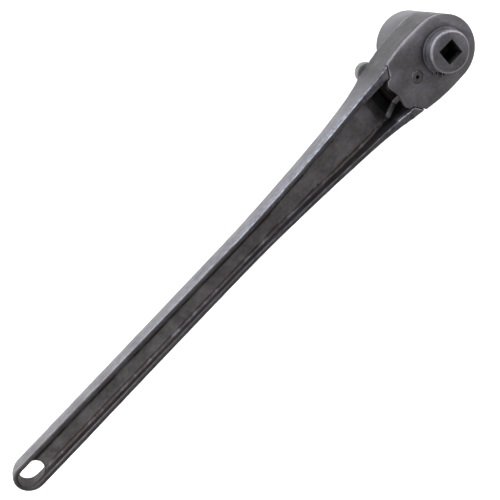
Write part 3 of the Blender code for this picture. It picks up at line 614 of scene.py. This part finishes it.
def paint_corners(mesh: bmesh.types.BMesh, convex: tuple[float, float], concave: tuple[float, float]) -> None:
    """Paints where a skin's corners wear and where its hollows take rust and painted shade, by how its
    surface turns at each point.

    Args:
        mesh: the skin.
        convex: turn at which rubbing starts, and at which it is full.
        concave: turn at which a hollow starts, and at which it is full.
    """
    mesh.normal_update()
    rubbed = mesh.verts.layers.float.new(Paint.RUBBED.value)
    hollow = mesh.verts.layers.float.new(Paint.HOLLOW.value)
    turns = {}
    for vert in mesh.verts:
        steps = [(e.other_vert(vert).co - vert.co).normalized().dot(vert.normal) for e in vert.link_edges]
        turns[vert] = sum(steps) / max(1, len(steps))
    for vert in mesh.verts:
        near = [turns[e.other_vert(vert)] for e in vert.link_edges]
        turn = (turns[vert] + sum(near)) / (1 + len(near))
        vert[rubbed] = min(1.0, max(0.0, (-turn - convex[0]) / (convex[1] - convex[0])))
        vert[hollow] = min(1.0, max(0.0, (turn - concave[0]) / (concave[1] - concave[0])))


@dataclass
class Workshop:
    """Puts finishes on pieces and ties the pieces to the frame.

    Args:
        groups: the shared node groups.
    """

    groups: Groups = field(default_factory=Groups)
    made: dict[str, bpy.types.Material] = field(default_factory=dict)

    def finish(self, finish: MetalFinish) -> bpy.types.Material:
        """The finish's material, built once.

        Args:
            finish: the finish.

        Returns:
            Its material.
        """
        if finish.name not in self.made:
            self.made[finish.name] = finish.material(self.groups)
        return self.made[finish.name]

    def fit(self, made: bpy.types.Object, node: str, body: Body, finish: MetalFinish) -> None:
        """Dresses a new piece and puts it in a CAD node's place.

        Args:
            made: the piece.
            node: the CAD node it stands for.
            body: the body it rides on.
            finish: its finish.
        """
        made.data.materials.clear()
        made.data.materials.append(self.finish(finish))
        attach(made, body.value)
        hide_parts(node)
        log.info("%s: %d faces on %s", made.name, len(made.data.polygons), body.value)

    def dress(self, node: str, finish: MetalFinish) -> None:
        """Gives a CAD node that keeps its own shape a better finish.

        Args:
            node: the CAD node.
            finish: its finish.
        """
        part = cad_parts[node]
        for place in part.material_slots:
            place.material = self.finish(finish)
        log.info("%s keeps its shape and takes %s", node, finish.name)


# ---- sub-assemblies -----------------------------------------------------------------------------


@dataclass
class HandleCasting:
    """The channel handle and the head, one sand casting."""

    # the skin
    voxel: float = 0.9 * MM
    softening: int = 2
    lumps: tuple[tuple[float, float], ...] = ((9.0 * MM, 0.10 * MM), (3.0 * MM, 0.05 * MM))
    convex: tuple[float, float] = (0.10, 0.32)
    concave: tuple[float, float] = (0.06, 0.22)
    smooth_deg: float = 60.0
    # where the head, the flange tops, the web and the hanging hole begin
    head_end: float = -58.0 * MM
    pocket_half: float = 16.0 * MM
    rim_low: float = 30.0 * MM
    inner_edge_low: float = 28.0 * MM
    web_low: float = 20.0 * MM
    hole_start: float = -428.0 * MM
    # painted shade, and the darker flange tops, from none at 0 to full at 1
    pocket_shade: float = 0.8
    flange_shade: float = 0.6
    inner_wall_shade: float = 0.95
    inner_edge_shade: float = 1.0
    fillet_shade: float = 0.45
    hole_shade: float = 0.9
    # side walls, with painted shade that grows towards the head
    wall_shade: float = 0.88
    wall_clean: float = -84.0 * MM
    wall_dark: float = -44.0 * MM
    # slopes of the flange tops beside the plate, with a painted highlight and painted shade
    slope_start: float = -68.0 * MM
    slope_end: float = -44.0 * MM
    slope_shade: float = 0.55
    slope_rubbing: float = 0.7
    # painted highlight along the outer edge of the far flange, weaker towards the handle's end
    rubbed_low: float = 27.0 * MM
    rubbed_end: float = -380.0 * MM
    rim_rubbing: float = 0.8
    # rear edge of the head, beside the bell: wear, with painted shade
    rear_edge: float = 2.4 * MM
    rear_rubbing: float = 0.5
    rear_shade: float = 0.4

    def faces_in(self, place: Vector, facing: Vector) -> bool:
        """Whether a point is on the inside of a flange or of the hanging hole."""
        return facing.y * place.y < 0.0 or (place.x < self.hole_start and facing.x > 0.5)

    def outer_marks(self, place: Vector, facing: Vector, rubbed: float) -> dict[Paint, float]:
        """Marks on the outer walls: painted shade on the side walls, and a painted highlight along the far
        flange's outer edge.

        Args:
            place: the point.
            facing: its normal.
            rubbed: how strongly it is marked already, by wear and painted highlights.

        Returns:
            What is painted there, and how strongly.
        """
        marks = {}
        # painted shade on the side walls, growing towards the head
        if abs(facing.z) < 0.75:
            along = (place.x - self.wall_clean) / (self.wall_dark - self.wall_clean)
            marks[Paint.SOOT] = self.wall_shade * min(1.0, max(0.0, along))
        # painted highlight along the far flange's outer edge, fading towards the handle's end
        if place.y > 0.0 and place.z > self.rubbed_low and 0.02 < facing.z < 0.85:
            fade = min(1.0, max(0.0, 1.0 - place.x / self.rubbed_end))
            marks[Paint.RUBBED] = max(rubbed, self.rim_rubbing * fade)
        return marks

    def head_marks(self, place: Vector, facing: Vector) -> dict[Paint, float]:
        """Marks on the head: painted shade in the pocket, and wear with painted shade on the rear edge beside
        the bell.

        Args:
            place: the point.
            facing: its normal.

        Returns:
            What is painted there, and how strongly.
        """
        marks = {}
        # painted shade in the pocket
        if place.z < self.rim_low and abs(place.y) < self.pocket_half:
            marks[Paint.SOOT] = self.pocket_shade
        # the rear edge beside the bell: wear, with painted shade
        if place.z < self.rear_edge and abs(facing.z) < 0.9:
            marks[Paint.RUBBED], marks[Paint.SOOT] = self.rear_rubbing, self.rear_shade
        return marks

    def grip_marks(self, place: Vector, facing: Vector) -> dict[Paint, float]:
        """Marks on the handle: darker flange tops, painted shade on the channel's inner walls and edge and in
        the hole, and rust with painted shade on the web's fillets.

        Args:
            place: the point.
            facing: its normal.

        Returns:
            What is painted there, and how strongly.
        """
        inward = self.faces_in(place, facing)
        # painted shade in the hanging hole
        if place.x < self.hole_start and inward and abs(facing.z) < 0.9:
            return {Paint.SOOT: self.hole_shade, Paint.HOLLOW: 0.0, Paint.RUBBED: 0.0}
        # darker flange tops
        if facing.z > 0.8 and place.z > self.rim_low:
            return {Paint.SOOT: self.flange_shade}
        # painted shade on the inner edge of the flange on the -Y side
        if inward and place.y < 0.0 and facing.z > 0.1 and place.z > self.inner_edge_low:
            return {Paint.SOOT: self.inner_edge_shade, Paint.RUBBED: 0.0}
        # painted shade on the channel's inner walls
        if inward and abs(facing.y) > 0.85 and place.z > self.web_low:
            return {Paint.SOOT: self.inner_wall_shade}
        # rust and painted shade on the web's fillets
        if inward and abs(facing.y) > 0.10 and facing.z > 0.3 and place.z > self.web_low:
            return {Paint.SOOT: self.fillet_shade, Paint.HOLLOW: 1.0, Paint.RUBBED: 0.0}
        return {}

    def shade(self, skin: bmesh.types.BMesh) -> None:
        """Paints shade, rust, wear and highlights on the skin, the later marks over the earlier ones.

        Args:
            skin: the casting's skin.
        """
        skin.verts.layers.float.new(Paint.SOOT.value)
        layers = {paint: skin.verts.layers.float[paint.value] for paint in Paint}
        skin.normal_update()
        for vert in skin.verts:
            place, facing = vert.co, vert.normal
            marks = {}
            if not self.faces_in(place, facing):
                marks.update(self.outer_marks(place, facing, vert[layers[Paint.RUBBED]]))
            # painted highlight and painted shade on the slopes beside the plate
            if (self.slope_start < place.x < self.slope_end and place.z > self.rim_low
                    and 0.7 < facing.z < 0.998):
                marks.update({Paint.RUBBED: self.slope_rubbing, Paint.SOOT: self.slope_shade})
            marks.update(self.head_marks(place, facing) if place.x > self.head_end
                         else self.grip_marks(place, facing))
            for paint, strength in marks.items():
                vert[layers[paint]] = strength

    def build(self, shop: Workshop) -> None:
        """Makes the casting's skin and dresses it.

        Args:
            shop: the workshop.
        """
        skin = remeshed("casting", merged_copy("handle_casting"), self.voxel)
        sand_cast(skin, self.softening, self.lumps)
        keep_inside(skin, "handle_casting")
        paint_corners(skin, self.convex, self.concave)
        self.shade(skin)
        shop.fit(piece("casting_skin", skin, self.smooth_deg), "handle_casting", Body.FRAME, CASTING_FINISH)


@dataclass
class HeadCover:
    """The cover plate and the pawl's pin, flush in it."""

    plate_edge: float = 0.25 * MM
    pin_edge: float = 0.15 * MM
    centre_hole: float = 1.5 * MM

    def build(self, shop: Workshop) -> None:
        """Makes both pieces and dresses them.

        Args:
            shop: the workshop.
        """
        plate = merged_copy("cover_plate")
        eased(plate, self.plate_edge)
        plate.normal_update()
        painted(plate, Paint.HOLLOW, lambda face: 0.3 < face.normal.z < 0.95)
        shop.fit(piece("cover_plate_eased", plate), "cover_plate", Body.FRAME, PLATE_FINISH)
        pin = merged_copy("pawl_pin")
        eased(pin, self.pin_edge)
        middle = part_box("pawl_pin")[0].lerp(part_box("pawl_pin")[1], 0.5)
        # painted shade in the pin's centre hole
        painted(pin, Paint.SOOT, lambda face: all(
            math.hypot(v.co.x - middle.x, v.co.y - middle.y) < self.centre_hole and v.co.z > middle.z
            for v in face.verts))
        shop.fit(piece("pawl_pin_eased", pin), "pawl_pin", Body.FRAME, PIN_FINISH)


@dataclass
class DriveGear:
    """The gear with its hub and bell, and the snap ring that holds it."""

    gear_edge: float = 0.3 * MM
    ring_edge: float = 0.2 * MM
    hole_reach: float = 7.5 * MM
    hole_floor: float = 20.0 * MM
    hub_face: float = 48.5 * MM
    bell_wall: float = 24.0 * MM
    bell_shade: float = 0.5
    groove_low: float = 36.5 * MM
    groove_high: float = 39.5 * MM
    ring_shade: float = 0.8

    def in_square_hole(self, point: Vector) -> bool:
        """Whether a point lies on the square hole's walls or floor."""
        return (max(abs(point.x), abs(point.y)) < self.hole_reach
                and self.hole_floor < point.z < self.hub_face)

    def build(self, shop: Workshop) -> None:
        """Makes both pieces and dresses them.

        Args:
            shop: the workshop.
        """
        gear = merged_copy("ratchet_gear")
        eased(gear, self.gear_edge)
        # painted shade in the square hole
        painted(gear, Paint.SOOT, lambda face: all(self.in_square_hole(v.co) for v in face.verts))
        # painted shade on the bell's walls
        painted(gear, Paint.SOOT, lambda face: all(
            math.hypot(v.co.x, v.co.y) > self.bell_wall for v in face.verts), self.bell_shade)
        # painted shade in the snap ring's groove
        painted(gear, Paint.SOOT, lambda face: all(
            self.groove_low < v.co.z < self.groove_high for v in face.verts))
        shop.fit(piece("ratchet_gear_eased", gear), "ratchet_gear", Body.GEAR, GEAR_FINISH)
        ring = merged_copy("snap_ring")
        eased(ring, self.ring_edge)
        ring.normal_update()
        # painted shade on the snap ring's sides
        painted(ring, Paint.SOOT, lambda face: abs(face.normal.z) < 0.4, self.ring_shade)
        shop.fit(piece("snap_ring_eased", ring), "snap_ring", Body.GEAR, PIN_FINISH)


@dataclass
class PawlSet:
    """The pawl under the plate and the tongue that shows which way it is thrown."""

    tongue_edge: float = 0.35 * MM
    pawl_edge: float = 0.25 * MM

    def build(self, shop: Workshop) -> None:
        """Makes the tongue and pawl, and dresses the rivets.

        Args:
            shop: the workshop.
        """
        tongue = merged_copy("shift_tongue")
        eased(tongue, self.tongue_edge)
        shop.fit(piece("shift_tongue_eased", tongue), "shift_tongue", Body.PAWL, PIN_FINISH)
        pawl = merged_copy("pawl")
        eased(pawl, self.pawl_edge)
        shop.fit(piece("pawl_eased", pawl), "pawl", Body.PAWL, GEAR_FINISH)
        for rivet in ("tongue_rivet_1", "tongue_rivet_2"):
            shop.dress(rivet, PIN_FINISH)


@dataclass
class ShiftLever:
    """The thumb lever behind the head, with its shaft, pin, washer and spring."""

    voxel: float = 0.35 * MM
    softening: int = 4
    lumps: tuple[tuple[float, float], ...] = ((3.2 * MM, 0.22 * MM), (1.2 * MM, 0.10 * MM))
    convex: tuple[float, float] = (0.10, 0.30)
    concave: tuple[float, float] = (0.08, 0.22)
    smooth_deg: float = 60.0

    def build(self, shop: Workshop) -> None:
        """Makes the rough lever and dresses the smaller pieces.

        Args:
            shop: the workshop.
        """
        skin = remeshed("lever", merged_copy("thumb_lever"), self.voxel)
        sand_cast(skin, self.softening, self.lumps)
        paint_corners(skin, self.convex, self.concave)
        shop.fit(piece("thumb_lever_skin", skin, self.smooth_deg), "thumb_lever", Body.SHIFTER, ROUGH_FINISH)
        for node, finish in (("shift_shaft", PIN_FINISH), ("lever_washer", PIN_FINISH),
                             ("lever_pin", WIRE_FINISH), ("shift_spring", WIRE_FINISH)):
            shop.dress(node, finish)


# ---- studio -------------------------------------------------------------------------------------


@dataclass
class SoftBox:
    """One soft studio light.

    Args:
        name: the light's name.
        place: where it stands, in metres.
        aim: the point it faces.
        width: its width, in metres.
        height: its height, in metres.
        power: in watts.
        colour: its colour.
    """

    name: str
    place: Place
    aim: Place
    width: float
    height: float
    power: float
    colour: Colour = (1.0, 1.0, 1.0)

    def set_up(self) -> None:
        """Adds the light."""
        light = bpy.data.lights.new(self.name, "AREA")
        light.shape = "RECTANGLE"
        light.size, light.size_y = self.width, self.height
        light.energy = self.power
        light.color = self.colour
        stand = bpy.data.objects.new(self.name, light)
        towards = Vector(self.aim) - Vector(self.place)
        turn = towards.to_track_quat("-Z", "Y").to_matrix().to_4x4()
        stand.matrix_world = Matrix.Translation(self.place) @ turn
        bpy.context.scene.collection.objects.link(stand)


@dataclass
class Studio:
    """A pale floor, soft light and the camera."""

    floor_reach: float = 3.0
    floor_drop: float = 0.4 * MM
    floor_colour: Colour = (0.86, 0.86, 0.86)
    floor_glow: float = 0.55
    floor_roughness: float = 0.95
    floor_shine: float = 0.1
    horizon: float = 0.95
    zenith: float = 0.22
    sky_low: float = 0.15
    sky_high: float = 0.75
    camera_place: Place = (-0.16353, 0.23613, 0.58190)
    camera_right: Place = (0.6902, -0.6813, 0.2438)
    camera_up: Place = (0.72063, 0.61652, -0.31716)
    lens_mm: float = 57.56
    lights: tuple[SoftBox, ...] = (
        SoftBox("rim_box", (0.0, 1.1, 0.42), (-0.15, 0.0, 0.02), 1.8, 0.45, 22.0, (0.80, 0.89, 1.0)),
        SoftBox("side_box", (-1.0, 0.5, 0.8), (-0.2, 0.0, 0.0), 0.9, 0.9, 9.0, (1.0, 0.97, 0.95)),
        SoftBox("head_box", (0.9, 0.15, 0.55), (0.0, 0.0, 0.02), 0.8, 0.6, 7.0, (0.95, 0.97, 1.0)),
    )

    def floor(self) -> None:
        """Lays the floor under the lowest piece."""
        mesh = bmesh.new()
        bmesh.ops.create_grid(mesh, x_segments=1, y_segments=1, size=self.floor_reach)
        bmesh.ops.translate(mesh, verts=mesh.verts, vec=(0.0, 0.0, CAD_BOX[0][2] - self.floor_drop))
        ground = piece("pale_floor", mesh)
        paint = bpy.data.materials.new("pale_paper")
        paint.use_nodes = True
        shader = paint.node_tree.nodes["Principled BSDF"]
        shader.inputs["Base Color"].default_value = (*self.floor_colour, 1.0)
        shader.inputs["Roughness"].default_value = self.floor_roughness
        shader.inputs["Specular IOR Level"].default_value = self.floor_shine
        shader.inputs["Emission Color"].default_value = (1.0, 1.0, 1.0, 1.0)
        shader.inputs["Emission Strength"].default_value = self.floor_glow
        ground.data.materials.append(paint)

    def sky(self) -> None:
        """Surrounds the object with soft light, pale at the horizon and darker overhead."""
        world = bpy.data.worlds.new("studio")
        world.use_nodes = True
        bpy.context.scene.world = world
        tree = world.node_tree
        facing = tree.nodes.new("ShaderNodeTexCoord").outputs["Generated"]
        split = tree.nodes.new("ShaderNodeSeparateXYZ")
        level = tree.nodes.new("ShaderNodeMapRange")
        level.interpolation_type = "SMOOTHSTEP"
        level.inputs["From Min"].default_value = self.sky_low
        level.inputs["From Max"].default_value = self.sky_high
        level.inputs["To Min"].default_value = self.horizon
        level.inputs["To Max"].default_value = self.zenith
        tree.links.new(facing, split.inputs[0])
        tree.links.new(split.outputs["Z"], level.inputs["Value"])
        tree.links.new(level.outputs["Result"], tree.nodes["Background"].inputs["Strength"])
        tree.nodes["Background"].inputs["Color"].default_value = (1.0, 1.0, 1.0, 1.0)

    def camera(self) -> None:
        """Sets up the camera."""
        data = bpy.data.cameras.new("studio_camera")
        data.sensor_width = 36.0
        data.lens = self.lens_mm
        data.clip_start = 0.01
        stand = bpy.data.objects.new("studio_camera", data)
        right, up = Vector(self.camera_right).normalized(), Vector(self.camera_up).normalized()
        turn = Matrix((right, up, right.cross(up))).transposed()
        stand.matrix_world = Matrix.Translation(self.camera_place) @ turn.to_4x4()
        bpy.context.scene.collection.objects.link(stand)
        bpy.context.scene.camera = stand

    def set_up(self) -> None:
        """Sets up the floor, light and camera."""
        self.floor()
        self.sky()
        for light in self.lights:
            light.set_up()
        self.camera()
        bpy.context.scene.view_settings.view_transform = "Standard"


def main() -> None:
    """Builds every sub-assembly and the studio round them."""
    logging.basicConfig(level=logging.INFO, format="%(name)s: %(message)s")
    shop = Workshop()
    for assembly in (HandleCasting(), HeadCover(), DriveGear(), PawlSet(), ShiftLever()):
        assembly.build(shop)
    Studio().set_up()


if __name__ == "__main__":
    main()
